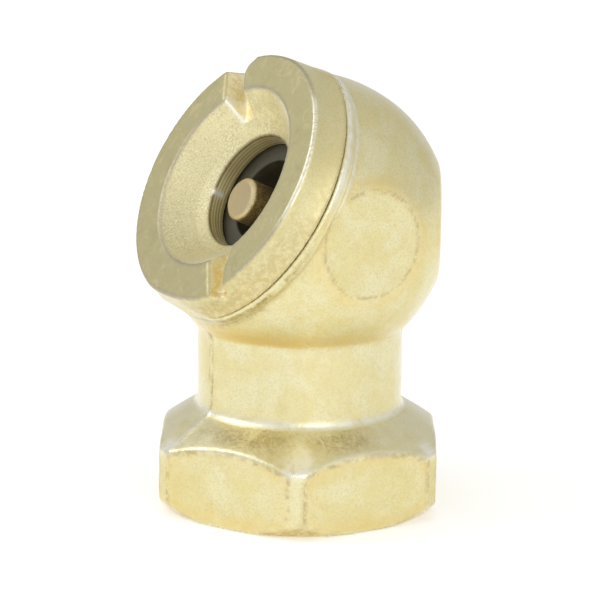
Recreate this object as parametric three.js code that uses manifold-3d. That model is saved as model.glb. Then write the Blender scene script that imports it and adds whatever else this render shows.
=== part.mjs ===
// Ball-foot tyre air chuck, closed pattern: a forged brass body with a hexagonal inlet foot, a
// round neck and a ball, and a mouth tilted 30 degrees above the horizontal.
// Frame: millimetres, +Z up along the inlet thread, origin at the centre of the inlet face.
// The head is built in its own frame: +Z out of the mouth, +Y up the slope, origin at the ball centre.
import * as THREE from "three";
import { mergeVertices } from "three/addons/utils/BufferGeometryUtils.js";
import Module from "manifold-3d";

const wasm = await Module();
wasm.setup();

const deg = (angle) => (angle * Math.PI) / 180;

// Inlet foot: an as-forged hexagon for a 3/4 in wrench, with cut corners, chamfered below and above.
const HEX_ACROSS_FLATS = 18.6;
const HEX_CORNER_R = 10.4;
const HEX_TURN = deg(-3); // the hexagon sits three degrees round from the plane of the mouth
const FOOT_TOP_Z = 6.85;
const NECK_R = 6.97;
const NECK_TOP_Z = 14;

// Inlet socket: 1/4-18 NPT female, stored as the plain cone of the thread's crests.
const INLET_CHAMFER_R = 6.9;
const INLET_MOUTH_R = 5.7;
const INLET_TAPER = 1 / 32; // radius lost per millimetre of depth
const INLET_DEPTH = 9.5;

// Ball and mouth.
const BALL_R = 10.0;
const BALL_FLAT_DISTANCE = 9.27;
const BALL_CENTRE_Z = 19.36;
const HEAD_TILT = deg(60); // turns the head's +Z to 30 degrees above the horizontal, facing -Y
const COLLAR_R = 9.55;
const COLLAR_BACK_H = 4.15;
const STRUCK_FLAT_Y = 9.0; // the collar and the ring are struck flat here, up and down the slope
const SEAM_H = 5.0;
const SEAM_GAP = 0.1;
const HEAD_BORE_R = 7.4;
const SHOULDER_H = -2.95;
const CHAMBER_R = 4.2;
const CHAMBER_END_H = -7.6;

// Air passage from the socket up into the spring chamber.
const PASSAGE_R = 1.75;
const PASSAGE_Y = 3.0;

// Face ring.
const RIM_H = 7.2;
const RIM_OUTER_R = 8.85;
const DISH_R = 6.39;
const LAND_R = 3.955;
const LAND_FRONT_H = 4.77;
const LAND_BACK_H = 3.54;
const BOSS_R = 7.3;
const BOSS_BORE_R = 5.9;
const BOSS_END_H = -1.6;
const SLOT_WIDTH = 1.9;
const SLOT_FLOOR_WIDTH = 0.9;
const SLOT_DEPTH = 1.75;
const SLOT_INNER_R = 4.7;
const SLOT_ANGLE = deg(124.4); // from the head's +X, so about 34 degrees from the up-slope line
const SLOT_OFFSET = -0.4; // the slots are cut a little to one side of the centre

// Depressor: rests drooped against the lower side of its clearance.
const DROOP = deg(5.1);
const PIVOT_H = -3.4;
const PIN_R = 1.48;
const PIN_TIP_H = 5.22;
const FLANGE_R = 5.0;
const FLANGE_FRONT_H = 0.6;
const FLANGE_BACK_H = -0.1;
const STEM_R = 1.0;

// Return spring: conical, so its coils close inside one another.
const SPRING_FRONT_H = -5.0;
const SPRING_BACK_H = -7.5;
const SPRING_WIRE_R = 0.2;
const SPRING_FRONT_R = 1.6;
const SPRING_BACK_R = 3.0;
const SPRING_TURNS = 2.75;

const brass = { color: 0xd9b778, roughness: 0.42, metalness: 1.0 };
const ringBrass = { color: 0xcfab68, roughness: 0.34, metalness: 1.0 };
const innerBrass = { color: 0xb08a4a, roughness: 0.4, metalness: 1.0 };
const rubber = { color: 0x2a2a2c, roughness: 0.8, metalness: 0.0 };
const fibre = { color: 0x7c3a26, roughness: 0.85, metalness: 0.0 };
const steel = { color: 0xa7abb0, roughness: 0.3, metalness: 1.0 };

// A manifold solid of a three.js geometry, after an optional move.
function solid(geometry, matrix) {
  const plain = geometry.clone();
  plain.deleteAttribute("normal");
  plain.deleteAttribute("uv");
  if (matrix) plain.applyMatrix4(matrix);
  const merged = mergeVertices(plain, 1e-5);
  return new wasm.Manifold(
    new wasm.Mesh({
      numProp: 3,
      vertProperties: merged.attributes.position.array,
      triVerts: new Uint32Array(merged.index.array),
    }),
  );
}

// A solid of revolution about Z from [radius, height] pairs, given anticlockwise.
function revolved(pairs, segments = 72, matrix) {
  const points = pairs.map(([r, h]) => new THREE.Vector2(r, h));
  return solid(new THREE.LatheGeometry(points, segments).rotateX(Math.PI / 2), matrix);
}

// A closed ring profile: its last point is its first.
const closed = (pairs) => [...pairs, pairs[0]];

// A cylinder along Z between two heights.
function rod(r, low, high, segments = 48, matrix) {
  return revolved([[0, low], [r, low], [r, high], [0, high]], segments, matrix);
}

// A flat outline pushed along Z between two heights.
function prism(outline, low, high, matrix) {
  const shape = new THREE.Shape(outline.map(([x, y]) => new THREE.Vector2(x, y)));
  const geometry = new THREE.ExtrudeGeometry(shape, { depth: high - low, bevelEnabled: false });
  geometry.translate(0, 0, low);
  return solid(geometry, matrix);
}

const moved = (x, y, z) => new THREE.Matrix4().makeTranslation(x, y, z);

// The head's frame in the part's frame.
function headMatrix() {
  const turn = new THREE.Matrix4().makeRotationX(HEAD_TILT);
  return moved(0, 0, BALL_CENTRE_Z).multiply(turn);
}

// A regular hexagon with corners on +-Y, turned by HEX_TURN.
function hexagon(acrossFlats) {
  const corner = acrossFlats / Math.sqrt(3);
  const outline = [];
  for (let i = 0; i < 6; i++) {
    const angle = Math.PI / 2 + HEX_TURN + (i * Math.PI) / 3;
    outline.push([corner * Math.cos(angle), corner * Math.sin(angle)]);
  }
  return outline;
}

// A hexagon whose six corners are cut square at a given distance from the centre.
function cutHexagon(acrossFlats, cornerDistance) {
  const halfFlat = acrossFlats / 2;
  // Where a face meets the cut across its corner, measured as an angle from the face's normal.
  const reach = (cornerDistance - halfFlat * Math.cos(Math.PI / 6)) / Math.sin(Math.PI / 6);
  const half = Math.atan2(reach, halfFlat);
  const radius = Math.hypot(reach, halfFlat);
  const outline = [];
  for (let i = 0; i < 6; i++) {
    const normal = HEX_TURN + (i * Math.PI) / 3;
    outline.push([radius * Math.cos(normal - half), radius * Math.sin(normal - half)]);
    outline.push([radius * Math.cos(normal + half), radius * Math.sin(normal + half)]);
  }
  return outline;
}

// Hexagonal foot: the cut hexagon inside a turned envelope that carries both chamfers.
function foot() {
  const envelope = revolved([
    [0, 0],
    [9.45, 0],
    [10.5, 1.05],
    [10.5, 4.55],
    [9.3, 5.5],
    [8.3, 6.15],
    [7.4, 6.6],
    [NECK_R, FOOT_TOP_Z + 0.25],
    [NECK_R - 0.3, FOOT_TOP_Z + 0.25],
    [0, FOOT_TOP_Z + 0.25],
  ], 96);
  return prism(cutHexagon(HEX_ACROSS_FLATS, HEX_CORNER_R), 0, 8).intersect(envelope);
}

// The forging's parting ridge: a thin web just proud of the neck and the chamfer, front and back.
function partingRidge() {
  const outline = [
    [5, 5.2],
    [9.2, 4.1],
    [10.25, 4.85],
    [9.33, 5.57],
    [8.33, 6.22],
    [7.43, 6.67],
    [7.04, 7.1],
    [7.04, 12.6],
    [5, 12.6],
  ];
  const upright = new THREE.Matrix4().makeBasis(
    new THREE.Vector3(0, 1, 0),
    new THREE.Vector3(0, 0, 1),
    new THREE.Vector3(1, 0, 0),
  );
  const half = prism(outline, -0.2, 0.2, upright);
  const back = new THREE.Matrix4().makeRotationZ(Math.PI).multiply(upright);
  return half.add(prism(outline, -0.2, 0.2, back));
}

// The ball with six flats in line with the hexagon.
function ball() {
  const sphere = solid(new THREE.SphereGeometry(BALL_R, 64, 40), moved(0, 0, BALL_CENTRE_Z));
  return sphere.intersect(prism(hexagon(2 * BALL_FLAT_DISTANCE), 5, 32));
}

function bodyCasting() {
  const head = headMatrix();
  const outside = foot()
    .add(rod(NECK_R, 1, NECK_TOP_Z, 72))
    .add(partingRidge())
    .add(ball())
    .add(rod(COLLAR_R, COLLAR_BACK_H, SEAM_H, 96, head).subtract(beyondFlats(head)))
    .subtract(rod(15, SEAM_H - SEAM_GAP / 2, 15, 48, head));
  const innerR = INLET_MOUTH_R - INLET_DEPTH * INLET_TAPER;
  const socket = revolved([
    [0, -1],
    [INLET_CHAMFER_R, -1],
    [INLET_CHAMFER_R, 0],
    [INLET_MOUTH_R, 1.1],
    [innerR, INLET_DEPTH],
    [0, INLET_DEPTH],
  ], 64);
  const passage = rod(PASSAGE_R, INLET_DEPTH - 0.5, 14.5, 32, moved(0, PASSAGE_Y, 0));
  const headBore = revolved([
    [0, CHAMBER_END_H],
    [CHAMBER_R, CHAMBER_END_H],
    [CHAMBER_R, SHOULDER_H],
    [HEAD_BORE_R, SHOULDER_H],
    [HEAD_BORE_R, SEAM_H + 1],
    [0, SEAM_H + 1],
  ], 72, head);
  return outside.subtract(socket).subtract(passage).subtract(headBore);
}

// The cutter for one slot: a channel with sloping sides, lying along the slots' line.
function spannerSlot(from, to) {
  const floor = RIM_H - SLOT_DEPTH;
  const lean = (SLOT_WIDTH - SLOT_FLOOR_WIDTH) / 2 / SLOT_DEPTH;
  const foot = SLOT_FLOOR_WIDTH / 2;
  const top = foot + lean * (SLOT_DEPTH + 1);
  const outline = [
    [SLOT_OFFSET - foot, floor],
    [SLOT_OFFSET + foot, floor],
    [SLOT_OFFSET + top, RIM_H + 1],
    [SLOT_OFFSET - top, RIM_H + 1],
  ];
  const across = new THREE.Matrix4().makeBasis(
    new THREE.Vector3(0, 1, 0),
    new THREE.Vector3(0, 0, 1),
    new THREE.Vector3(1, 0, 0),
  );
  return prism(outline, from, to, new THREE.Matrix4().makeRotationZ(SLOT_ANGLE).multiply(across));
}

// The two blocks that take away everything beyond the struck flats.
function beyondFlats(matrix) {
  const block = (near, far) => [
    [-12, near],
    [12, near],
    [12, far],
    [-12, far],
  ];
  const low = COLLAR_BACK_H - 1;
  const high = RIM_H + 1;
  return prism(block(STRUCK_FLAT_Y, 15), low, high, matrix)
    .add(prism(block(-15, -STRUCK_FLAT_Y), low, high, matrix));
}

// The dished ring screwed into the mouth, slotted for a pin spanner.
function faceRing() {
  const profile = closed([
    [LAND_R, LAND_BACK_H],
    [BOSS_BORE_R, LAND_BACK_H],
    [BOSS_BORE_R, BOSS_END_H],
    [BOSS_R, BOSS_END_H],
    [BOSS_R, SEAM_H + SEAM_GAP / 2],
    [COLLAR_R, SEAM_H + SEAM_GAP / 2],
    [9.3, 5.6],
    [9.08, 6.2],
    [8.93, 6.75],
    [RIM_OUTER_R + 0.02, 7.1],
    [RIM_OUTER_R - 0.08, RIM_H],
    [DISH_R, RIM_H],
    [5.98, 6.62],
    [5.4, 5.92],
    [4.75, 5.32],
    [LAND_R, LAND_FRONT_H],
  ]);
  return revolved(profile, 96)
    .subtract(spannerSlot(SLOT_INNER_R, 12))
    .subtract(spannerSlot(-12, -SLOT_INNER_R))
    .subtract(beyondFlats());
}

// The rubber washer that a tyre valve's stem is pushed against.
function faceGasket() {
  return revolved(closed([
    [2.85, 1.25],
    [5.75, 1.25],
    [5.75, 3.45],
    [2.95, 3.45],
    [2.85, 3.3],
  ]), 64);
}

// Pin, drilled flange and stem in one piece.
function depressorPin() {
  const droop = moved(0, 0, PIVOT_H)
    .multiply(new THREE.Matrix4().makeRotationX(DROOP))
    .multiply(moved(0, 0, -PIVOT_H));
  let piece = revolved([
    [0, PIVOT_H],
    [0.75, PIVOT_H],
    [STEM_R, PIVOT_H + 0.25],
    [STEM_R, FLANGE_BACK_H],
    [FLANGE_R - 0.15, FLANGE_BACK_H],
    [FLANGE_R, FLANGE_BACK_H + 0.15],
    [FLANGE_R, FLANGE_FRONT_H - 0.15],
    [FLANGE_R - 0.15, FLANGE_FRONT_H],
    [PIN_R, FLANGE_FRONT_H],
    [PIN_R, PIN_TIP_H - 0.2],
    [PIN_R - 0.2, PIN_TIP_H],
    [0, PIN_TIP_H],
  ], 48, droop);
  for (let i = 0; i < 6; i++) {
    const angle = (i * Math.PI) / 3;
    const place = moved(2.7 * Math.cos(angle), 2.7 * Math.sin(angle), 0);
    piece = piece.subtract(rod(0.6, -1, 1.5, 20, droop.clone().multiply(place)));
  }
  return piece;
}

// The bush that the boss of the ring clamps against the shoulder; its nose is the valve seat.
function seatBushing() {
  return revolved(closed([
    [2.2, -3.6],
    [2.6, -3.6],
    [3.6, -3.3],
    [3.6, -2.45],
    [7.2, -2.45],
    [7.2, -1.66],
    [2.5, -1.66],
    [2.2, -1.96],
  ]), 64);
}

function bushingGasket() {
  return revolved(closed([
    [4.4, -2.89],
    [7.2, -2.89],
    [7.2, -2.51],
    [4.4, -2.51],
  ]), 48);
}

// The shut-off valve: a cup for its seal, with a guide tail inside the spring.
function poppet() {
  return revolved([
    [0, -6.3],
    [0.9, -6.3],
    [1.15, -6.05],
    [1.15, -4.9],
    [3.35, -4.9],
    [3.35, -3.88],
    [2.98, -3.88],
    [2.98, -4.27],
    [0.9, -4.27],
    [0.9, -3.56],
    [0, -3.56],
  ], 48);
}

function poppetSeal() {
  return revolved(closed([
    [1.0, -4.21],
    [2.88, -4.21],
    [2.88, -3.66],
    [1.0, -3.66],
  ]), 48);
}

class ConicalHelix extends THREE.Curve {
  getPoint(t) {
    const angle = t * SPRING_TURNS * 2 * Math.PI;
    const radius = SPRING_FRONT_R + (SPRING_BACK_R - SPRING_FRONT_R) * t;
    const front = SPRING_FRONT_H - SPRING_WIRE_R;
    const back = SPRING_BACK_H + SPRING_WIRE_R;
    return new THREE.Vector3(
      radius * Math.cos(angle),
      radius * Math.sin(angle),
      front + (back - front) * t,
    );
  }
}

function returnSpring() {
  const wire = new THREE.Shape();
  wire.absarc(0, 0, SPRING_WIRE_R, 0, 2 * Math.PI);
  const options = { steps: 80, curveSegments: 8, extrudePath: new ConicalHelix(), bevelEnabled: false };
  return solid(new THREE.ExtrudeGeometry(wire, options));
}

// A named mesh from a manifold solid.
function mesh(name, shape, look) {
  const made = shape.getMesh();
  const geometry = new THREE.BufferGeometry();
  geometry.setAttribute("position", new THREE.BufferAttribute(made.vertProperties, 3));
  geometry.setIndex(new THREE.BufferAttribute(made.triVerts, 1));
  geometry.computeVertexNormals();
  const piece = new THREE.Mesh(geometry, new THREE.MeshStandardMaterial(look));
  piece.name = name;
  return piece;
}

const chuck = new THREE.Group();
chuck.add(mesh("body_casting", bodyCasting(), brass));

const headGroup = new THREE.Group();
headGroup.applyMatrix4(headMatrix());
headGroup.add(mesh("face_ring", faceRing(), ringBrass));
headGroup.add(mesh("face_gasket", faceGasket(), rubber));
headGroup.add(mesh("depressor_pin", depressorPin(), innerBrass));
headGroup.add(mesh("seat_bushing", seatBushing(), innerBrass));
headGroup.add(mesh("bushing_gasket", bushingGasket(), fibre));
headGroup.add(mesh("poppet", poppet(), innerBrass));
headGroup.add(mesh("poppet_seal", poppetSeal(), rubber));
headGroup.add(mesh("return_spring", returnSpring(), steel));
chuck.add(headGroup);

export default chuck;
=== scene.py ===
import math

import bpy
import numpy as np
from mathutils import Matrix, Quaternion, Vector


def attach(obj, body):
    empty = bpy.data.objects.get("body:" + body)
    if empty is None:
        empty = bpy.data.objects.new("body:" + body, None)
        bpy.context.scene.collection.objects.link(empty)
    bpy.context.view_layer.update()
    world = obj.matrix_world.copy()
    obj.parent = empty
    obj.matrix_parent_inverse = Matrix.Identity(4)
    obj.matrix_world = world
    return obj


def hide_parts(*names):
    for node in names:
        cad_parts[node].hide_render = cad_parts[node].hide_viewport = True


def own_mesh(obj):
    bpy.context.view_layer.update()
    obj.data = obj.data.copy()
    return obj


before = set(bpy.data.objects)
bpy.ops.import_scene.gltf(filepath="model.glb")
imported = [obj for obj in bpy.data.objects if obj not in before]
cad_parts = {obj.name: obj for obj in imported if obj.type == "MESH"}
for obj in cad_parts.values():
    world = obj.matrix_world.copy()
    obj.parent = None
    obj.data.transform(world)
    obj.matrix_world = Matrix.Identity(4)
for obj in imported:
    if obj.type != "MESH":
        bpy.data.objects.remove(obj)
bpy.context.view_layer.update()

MM = 0.001
RNG = np.random.default_rng(7)

# ---------------------------------------------------------------- driving dimensions
# Foot and neck. The chamfers are (radius, height) points, turned about the foot's axis.
HEX_HALF = 18.6 / 2
HEX_TURN = math.radians(-3)
CORNER_R = 10.4  # how far the cut corners reach
FRONT_CORNER = -33  # bearing from +X in degrees
LOWER_CHAMFER = [(9.34, 0), (10.5, 1.1)]
CHAMFER = [(10.5, 4.55), (9.3, 5.5), (8.3, 6.15), (7.0, 6.78)]
NECK_R = 6.97
NECK_TOP = 15

# Ball and head.
BALL_R = 10.0
BALL_FLAT = 9.27
HEAD_CENTRE = np.array([0.0, 0.0, 19.36])
MOUTH = np.array([0.0, -math.cos(math.radians(30)), 0.5])
SLOPE = np.array([0.0, 0.5, math.cos(math.radians(30))])

# Collar and mouth ring. Heights named _H are along the mouth, from the ball's centre.
COLLAR_R = 9.55
COLLAR_BACK_H = 4.15
SEAM_H = 5.0
SEAM_GAP = 0.05
STRUCK_FLAT = 9.0
UPPER_FLAT_EXTRA = 0.22
RIM_H = 7.2
RIM_SPREAD = 0.45
LAND_R = 4.035  # the land is the short straight bore at the bottom of the dish
# The bearing of the painted highlight streak on the bore's land.
STREAK_BEARING = -168.5  # degrees round the mouth

# Spanner slots, and the lobe of the rim beside the upper one.
SLOT_ANGLE = math.radians(124.4)
SLOT_OFFSET = -0.4
SLOT_HALF = 0.88
SLOT_DEPTH = 1.62
SLOT_START = 4.8
SLOT_LEAN = 0.26
LOBE_R = 1.15
LOBE_DEPTH = 1.75
LOBE_ALONG = 7.2
LOBE_ACROSS = -2.35

# Hollows of the forging.
SOCKET_R = 5.4
SOCKET_TOP = 9.5
THREAD_ROOM_R = 7.02
THREAD_ROOM_TOP = 6.2
BORE_R = 7.4
BORE_FLOOR_H = -2.95
CHAMBER_R = 4.2
CHAMBER_FLOOR_H = -7.6
PASSAGE_R = 1.75
PASSAGE_Y = 3.0
PASSAGE_FROM = 9.0
PASSAGE_TO = 14.5

# Depressor, which leans by DROOP about the end of its stem.
PIVOT_H = -3.4
DROOP = math.radians(5.1)

# ---------------------------------------------------------------- camera
CAMERA_AZIMUTH = math.radians(57.6)
CAMERA_ELEVATION = math.radians(13.0)
CAMERA_DISTANCE = 166
CAMERA_ROLL = math.radians(0.77)
CAMERA_LENS = 146.6
AIM = Vector((-0.02, -0.03, 13.817)) * MM


def make_camera():
    data = bpy.data.cameras.new("camera")
    data.sensor_width = 36
    data.lens = CAMERA_LENS
    data.clip_start = 0.01
    cam = bpy.data.objects.new("camera", data)
    bpy.context.scene.collection.objects.link(cam)
    a, e = CAMERA_AZIMUTH, CAMERA_ELEVATION
    back = Vector((math.sin(a) * math.cos(e), -math.cos(a) * math.cos(e), math.sin(e)))
    cam.location = AIM + back * CAMERA_DISTANCE * MM
    cam.rotation_mode = "QUATERNION"
    upright = (-back).to_track_quat("-Z", "Y")
    cam.rotation_quaternion = upright @ Quaternion((0, 0, 1), CAMERA_ROLL)
    bpy.context.scene.camera = cam


make_camera()


# ---------------------------------------------------------------- shapes as distance fields
def smooth_max(a, b, blend):
    """The larger of a and b, rounded over where they differ by less than the blend."""
    share = np.clip(0.5 + 0.5 * (a - b) / blend, 0, 1)
    return b * (1 - share) + a * share + blend * share * (1 - share)


def smooth_min(a, b, blend):
    return -smooth_max(-a, -b, blend)


def to_head(p):
    """Row-frame points as (x, up-slope, along the mouth) from the ball's centre."""
    q = p - HEAD_CENTRE
    return np.stack([q[..., 0], q @ SLOPE, q @ MOUTH], axis=-1)


def from_head(q):
    """Head-frame points in the row frame."""
    across = np.array([1.0, 0.0, 0.0])
    return HEAD_CENTRE + q[:, :1] * across + q[:, 1:2] * SLOPE + q[:, 2:3] * MOUTH


def droop(q):
    """Head-frame points of the depressor, turned down about the end of its stem."""
    h = q[:, 2] - PIVOT_H
    y = q[:, 1] * math.cos(DROOP) - h * math.sin(DROOP)
    h = q[:, 1] * math.sin(DROOP) + h * math.cos(DROOP)
    return np.stack([q[:, 0], y, h + PIVOT_H], axis=1)


def half_plane(r, z, a, b):
    """Distance to the line from a to b in the (r, z) plane, positive on its right."""
    dr, dz = b[0] - a[0], b[1] - a[1]
    length = math.hypot(dr, dz)
    return ((r - a[0]) * dz - (z - a[1]) * dr) / length


def polygon_distance(r, h, points):
    """Signed distance to a closed polygon in the (r, h) plane, negative inside."""
    best = np.full(r.shape, 1e9, np.float32)
    inside = np.zeros(r.shape, bool)
    for i, (bx, by) in enumerate(points):
        ax, ay = points[i - 1]
        ex, ey = bx - ax, by - ay
        t = np.clip(((r - ax) * ex + (h - ay) * ey) / (ex * ex + ey * ey), 0, 1)
        best = np.minimum(best, (r - ax - ex * t) ** 2 + (h - ay - ey * t) ** 2)
        if by != ay:
            crosses = (ay > h) != (by > h)
            inside ^= crosses & (r < ax + (h - ay) * ex / ey)
    best = np.sqrt(best)
    return np.where(inside, -best, best)


def hexagon_distance(x, y, half, turn=0):
    """Signed distance to a hexagon in line with the foot's, turned by some degrees."""
    d = np.full(x.shape, -1e9, np.float32)
    for i in range(3):
        a = HEX_TURN + math.radians(turn + 60 * i)
        d = np.maximum(d, np.abs(x * math.cos(a) + y * math.sin(a)) - half)
    return d


WAVES = [
    (RNG.normal(size=3), RNG.uniform(1.6, 5.5), RNG.uniform(0, 2 * math.pi))
    for _ in range(14)
]
WAVE_STEEPNESS = 0.0032
RIPPLE = 0.42


def ripple(p):
    """The forging's gentle unevenness, in millimetres: a few long waves in random directions."""
    total = 0
    for direction, wavelength, phase in WAVES:
        k = direction / np.linalg.norm(direction) * (2 * math.pi / wavelength)
        total = total + np.sin(p @ k + phase) * (WAVE_STEEPNESS * wavelength)
    return total * RIPPLE


def foot_distance(p):
    """The hexagonal foot with its cut corners and its chamfers above and below."""
    x, y, z = p[..., 0], p[..., 1], p[..., 2]
    r = np.hypot(x, y)
    d = smooth_max(hexagon_distance(x, y, HEX_HALF), hexagon_distance(x, y, CORNER_R, 30), 0.1)
    d = smooth_max(d, half_plane(r, z, *LOWER_CHAMFER), 0.15)
    top = half_plane(r, z, CHAMFER[0], CHAMFER[1])
    top = smooth_max(top, half_plane(r, z, CHAMFER[1], CHAMFER[2]), 0.4)
    top = smooth_max(top, half_plane(r, z, CHAMFER[2], CHAMFER[3]), 0.3)
    d = smooth_max(d, top, 0.2)
    return smooth_max(d, -z, 0.14)


def parting_ridge(p):
    """Height of the flash line left in the plane x = 0 by the two forging dies."""
    wander = 0.12 * np.sin(p[..., 2] * 1.3 + 0.7)
    return 0.07 * np.exp(-(((p[..., 0] - wander) / 0.16) ** 2))


def head_distance(p):
    """The ball with its six struck flats, and the collar round the mouth up to the seam."""
    x_head, up_slope, h = np.moveaxis(to_head(p), -1, 0)
    ball = np.linalg.norm(p - HEAD_CENTRE, axis=-1) - BALL_R
    ball = smooth_max(ball, hexagon_distance(p[..., 0], p[..., 1], BALL_FLAT), 0.16)
    collar = smooth_max(np.hypot(x_head, up_slope) - COLLAR_R, COLLAR_BACK_H - h, 0.3)
    flat = np.abs(up_slope) - STRUCK_FLAT - UPPER_FLAT_EXTRA * (up_slope > 0)
    collar = smooth_max(collar, flat, 0.4)
    head = smooth_min(ball, collar, 0.6)
    return smooth_max(head, h - (SEAM_H - SEAM_GAP), 0.14)


def hollow_distance(p):
    """The inlet socket, the mouth's bore, the spring chamber and the passage between them."""
    x, y, z = p[..., 0], p[..., 1], p[..., 2]
    r = np.hypot(x, y)
    q = to_head(p)
    rh, h = np.hypot(q[..., 0], q[..., 1]), q[..., 2]
    socket_r = np.where(z < THREAD_ROOM_TOP, THREAD_ROOM_R, SOCKET_R)
    socket = np.maximum(r - socket_r, z - SOCKET_TOP)
    bore = np.maximum(rh - BORE_R, BORE_FLOOR_H - h)
    chamber = np.maximum(rh - CHAMBER_R, CHAMBER_FLOOR_H - h)
    passage = np.hypot(x, y - PASSAGE_Y) - PASSAGE_R
    passage = np.maximum(passage, np.maximum(PASSAGE_FROM - z, z - PASSAGE_TO))
    return np.minimum(np.minimum(socket, bore), np.minimum(chamber, passage))


def body_distance(p):
    """The whole forging: foot, neck and head joined by fillets, less its hollows."""
    z = p[..., 2]
    neck = np.maximum(np.hypot(p[..., 0], p[..., 1]) - NECK_R, np.maximum(1 - z, z - NECK_TOP))
    lower = smooth_min(foot_distance(p), neck, 0.55)
    lower = lower - parting_ridge(p) * np.clip((z - 4.5) / 1.2, 0, 1)
    d = smooth_min(lower, head_distance(p), 0.3)
    # The underside stays flat, so that the foot stands on the floor all round.
    d = d + ripple(p) * np.clip(z / 0.6, 0, 1)
    return smooth_max(d, -hollow_distance(p), 0.08)


RING_PROFILE = [
    (LAND_R, 3.62), (5.98, 3.62), (5.98, -1.52), (7.22, -1.52), (7.22, 5.13), (9.46, 5.13),
    (9.22, 5.6), (9.0, 6.2), (8.85, 6.75), (8.79, 7.02), (8.7, 7.12),
    (6.5, 7.12), (6.42, 7.08), (6.02, 6.56), (5.4, 5.84), (4.78, 5.24), (LAND_R, 4.72),
]
RING_ROUND = 0.08


def slot_axes(q):
    """Head-frame points as the distances along the slots' line and across it."""
    along = q[..., 0] * math.cos(SLOT_ANGLE) + q[..., 1] * math.sin(SLOT_ANGLE)
    across = q[..., 1] * math.cos(SLOT_ANGLE) - q[..., 0] * math.sin(SLOT_ANGLE)
    return along, across


def slot_edges(along):
    """Both rim edges and the floor level of the slots; the lower one is narrow and runs out."""
    out = np.abs(along)
    upper = along > 0
    lower_left = 0.58 - 0.115 * (out - 6.6)
    lower_right = -0.86 - 0.62 * np.clip((7.8 - out) / 1.4, 0, 1)
    lower_floor = 5.45 + 0.24 * np.clip(out - 5.2, 0, 5)
    left = np.where(upper, SLOT_OFFSET + SLOT_HALF, lower_left)
    right = np.where(upper, SLOT_OFFSET - SLOT_HALF, lower_right)
    floor = np.where(upper, RIM_H - SLOT_DEPTH, lower_floor)
    return left, right, floor


def rim_spread(along, across, left, h):
    """How far, from 0 to 1, the rim is spread outwards on one side of the lower slot."""
    near = np.clip(1 - np.abs(across - left) / 2.7, 0, 1)
    return (along < 0) * near * np.clip((h - 5.4) / 1.4, 0, 1)


def slot_distance(along, across, h):
    """The two slots, whose walls lean apart towards the rim."""
    left, right, floor = slot_edges(along)
    lean = SLOT_LEAN * np.clip(RIM_H - h, 0, 3)
    slot = np.maximum(across - left + lean, right - across + lean)
    slot = smooth_max(slot, floor - h, 0.35)
    return smooth_max(slot, SLOT_START - np.abs(along), 0.3)


def lobe_cut_distance(along, across, h):
    """The cut that rounds the outer corner of the rim's lobe beside the upper slot."""
    reach, middle = along - LOBE_ALONG, across - LOBE_ACROSS
    corner = np.maximum(np.maximum(-reach, -middle), LOBE_R - np.hypot(reach, middle))
    return np.maximum(np.maximum(corner, across - SLOT_OFFSET), RIM_H - LOBE_DEPTH - h)


def ring_distance(q):
    """The screwed-in mouth ring in the head frame: dished, slotted and flattened on two sides."""
    r = np.hypot(q[..., 0], q[..., 1])
    h = q[..., 2]
    along, across = slot_axes(q)
    spread = rim_spread(along, across, slot_edges(along)[0], h)
    inward = RIM_SPREAD * spread * np.clip(r - 7.5, 0, 1)
    d = polygon_distance(r - inward, h, RING_PROFILE) - RING_ROUND
    draft = 0.1 * (h - SEAM_H) * (q[..., 1] < 0)
    d = smooth_max(d, np.abs(q[..., 1]) - STRUCK_FLAT + draft, 0.3)
    d = smooth_max(d, -slot_distance(along, across, h), 0.24)
    return smooth_max(d, -lobe_cut_distance(along, across, h), 0.2)


PIN_PROFILE = [
    (0, PIVOT_H), (0.95, PIVOT_H), (0.95, -0.05), (4.93, -0.05), (4.93, 0.53),
    (1.43, 0.53), (1.43, 5.0), (1.25, 5.17), (0, 5.17), (-1, 5.17), (-1, PIVOT_H),
]
PIN_ROUND = 0.05
AIR_HOLES = 6
AIR_HOLE_R = 0.6
AIR_HOLE_OUT = 2.7


def pin_distance(q):
    """The depressor in the head frame, standing straight: stem, drilled flange and tip."""
    r = np.hypot(q[..., 0], q[..., 1])
    d = polygon_distance(r, q[..., 2], PIN_PROFILE) - PIN_ROUND
    holes = np.full(r.shape, 1e9, np.float32)
    for i in range(AIR_HOLES):
        a = i * 2 * math.pi / AIR_HOLES
        x, y = AIR_HOLE_OUT * math.cos(a), AIR_HOLE_OUT * math.sin(a)
        holes = np.minimum(holes, np.hypot(q[..., 0] - x, q[..., 1] - y) - AIR_HOLE_R)
    return smooth_max(d, -np.maximum(holes, np.abs(q[..., 2] - 0.25) - 1), 0.1)


# ---------------------------------------------------------------- distance field to mesh
NEWTON_STEPS = 4


def sample_grid(field, low, high, step):
    """The field's values on a grid of points between two corners."""
    axes = [np.arange(lo, hi + step, step, dtype=np.float32) for lo, hi in zip(low, high)]
    values = np.empty([len(a) for a in axes], np.float32)
    y, z = np.meshgrid(axes[1], axes[2], indexing="ij")
    for i, x in enumerate(axes[0]):
        values[i] = field(np.stack([np.full_like(y, x), y, z], axis=-1))
    return values


def cell_crossings(values):
    """For each grid cell, the sum of the points where its edges cross zero, and their count."""
    shape = [n - 1 for n in values.shape]
    total = np.zeros(shape + [3], np.float32)
    count = np.zeros(shape, np.float32)
    sides = [slice(None, -1), slice(1, None)]
    for axis in range(3):
        u, v = [k for k in range(3) if k != axis]
        for s, t in ((0, 0), (0, 1), (1, 0), (1, 1)):
            pick = [sides[0]] * 3
            pick[u] = sides[s]
            pick[v] = sides[t]
            a = values[tuple(pick)]
            pick[axis] = sides[1]
            b = values[tuple(pick)]
            cut = (a < 0) != (b < 0)
            offset = np.zeros(cut.shape + (3,), np.float32)
            offset[..., u] = s
            offset[..., v] = t
            offset[..., axis] = np.where(cut, a / np.where(cut, a - b, 1), 0)
            total += offset * cut[..., None]
            count += cut
    return total, count


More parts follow.
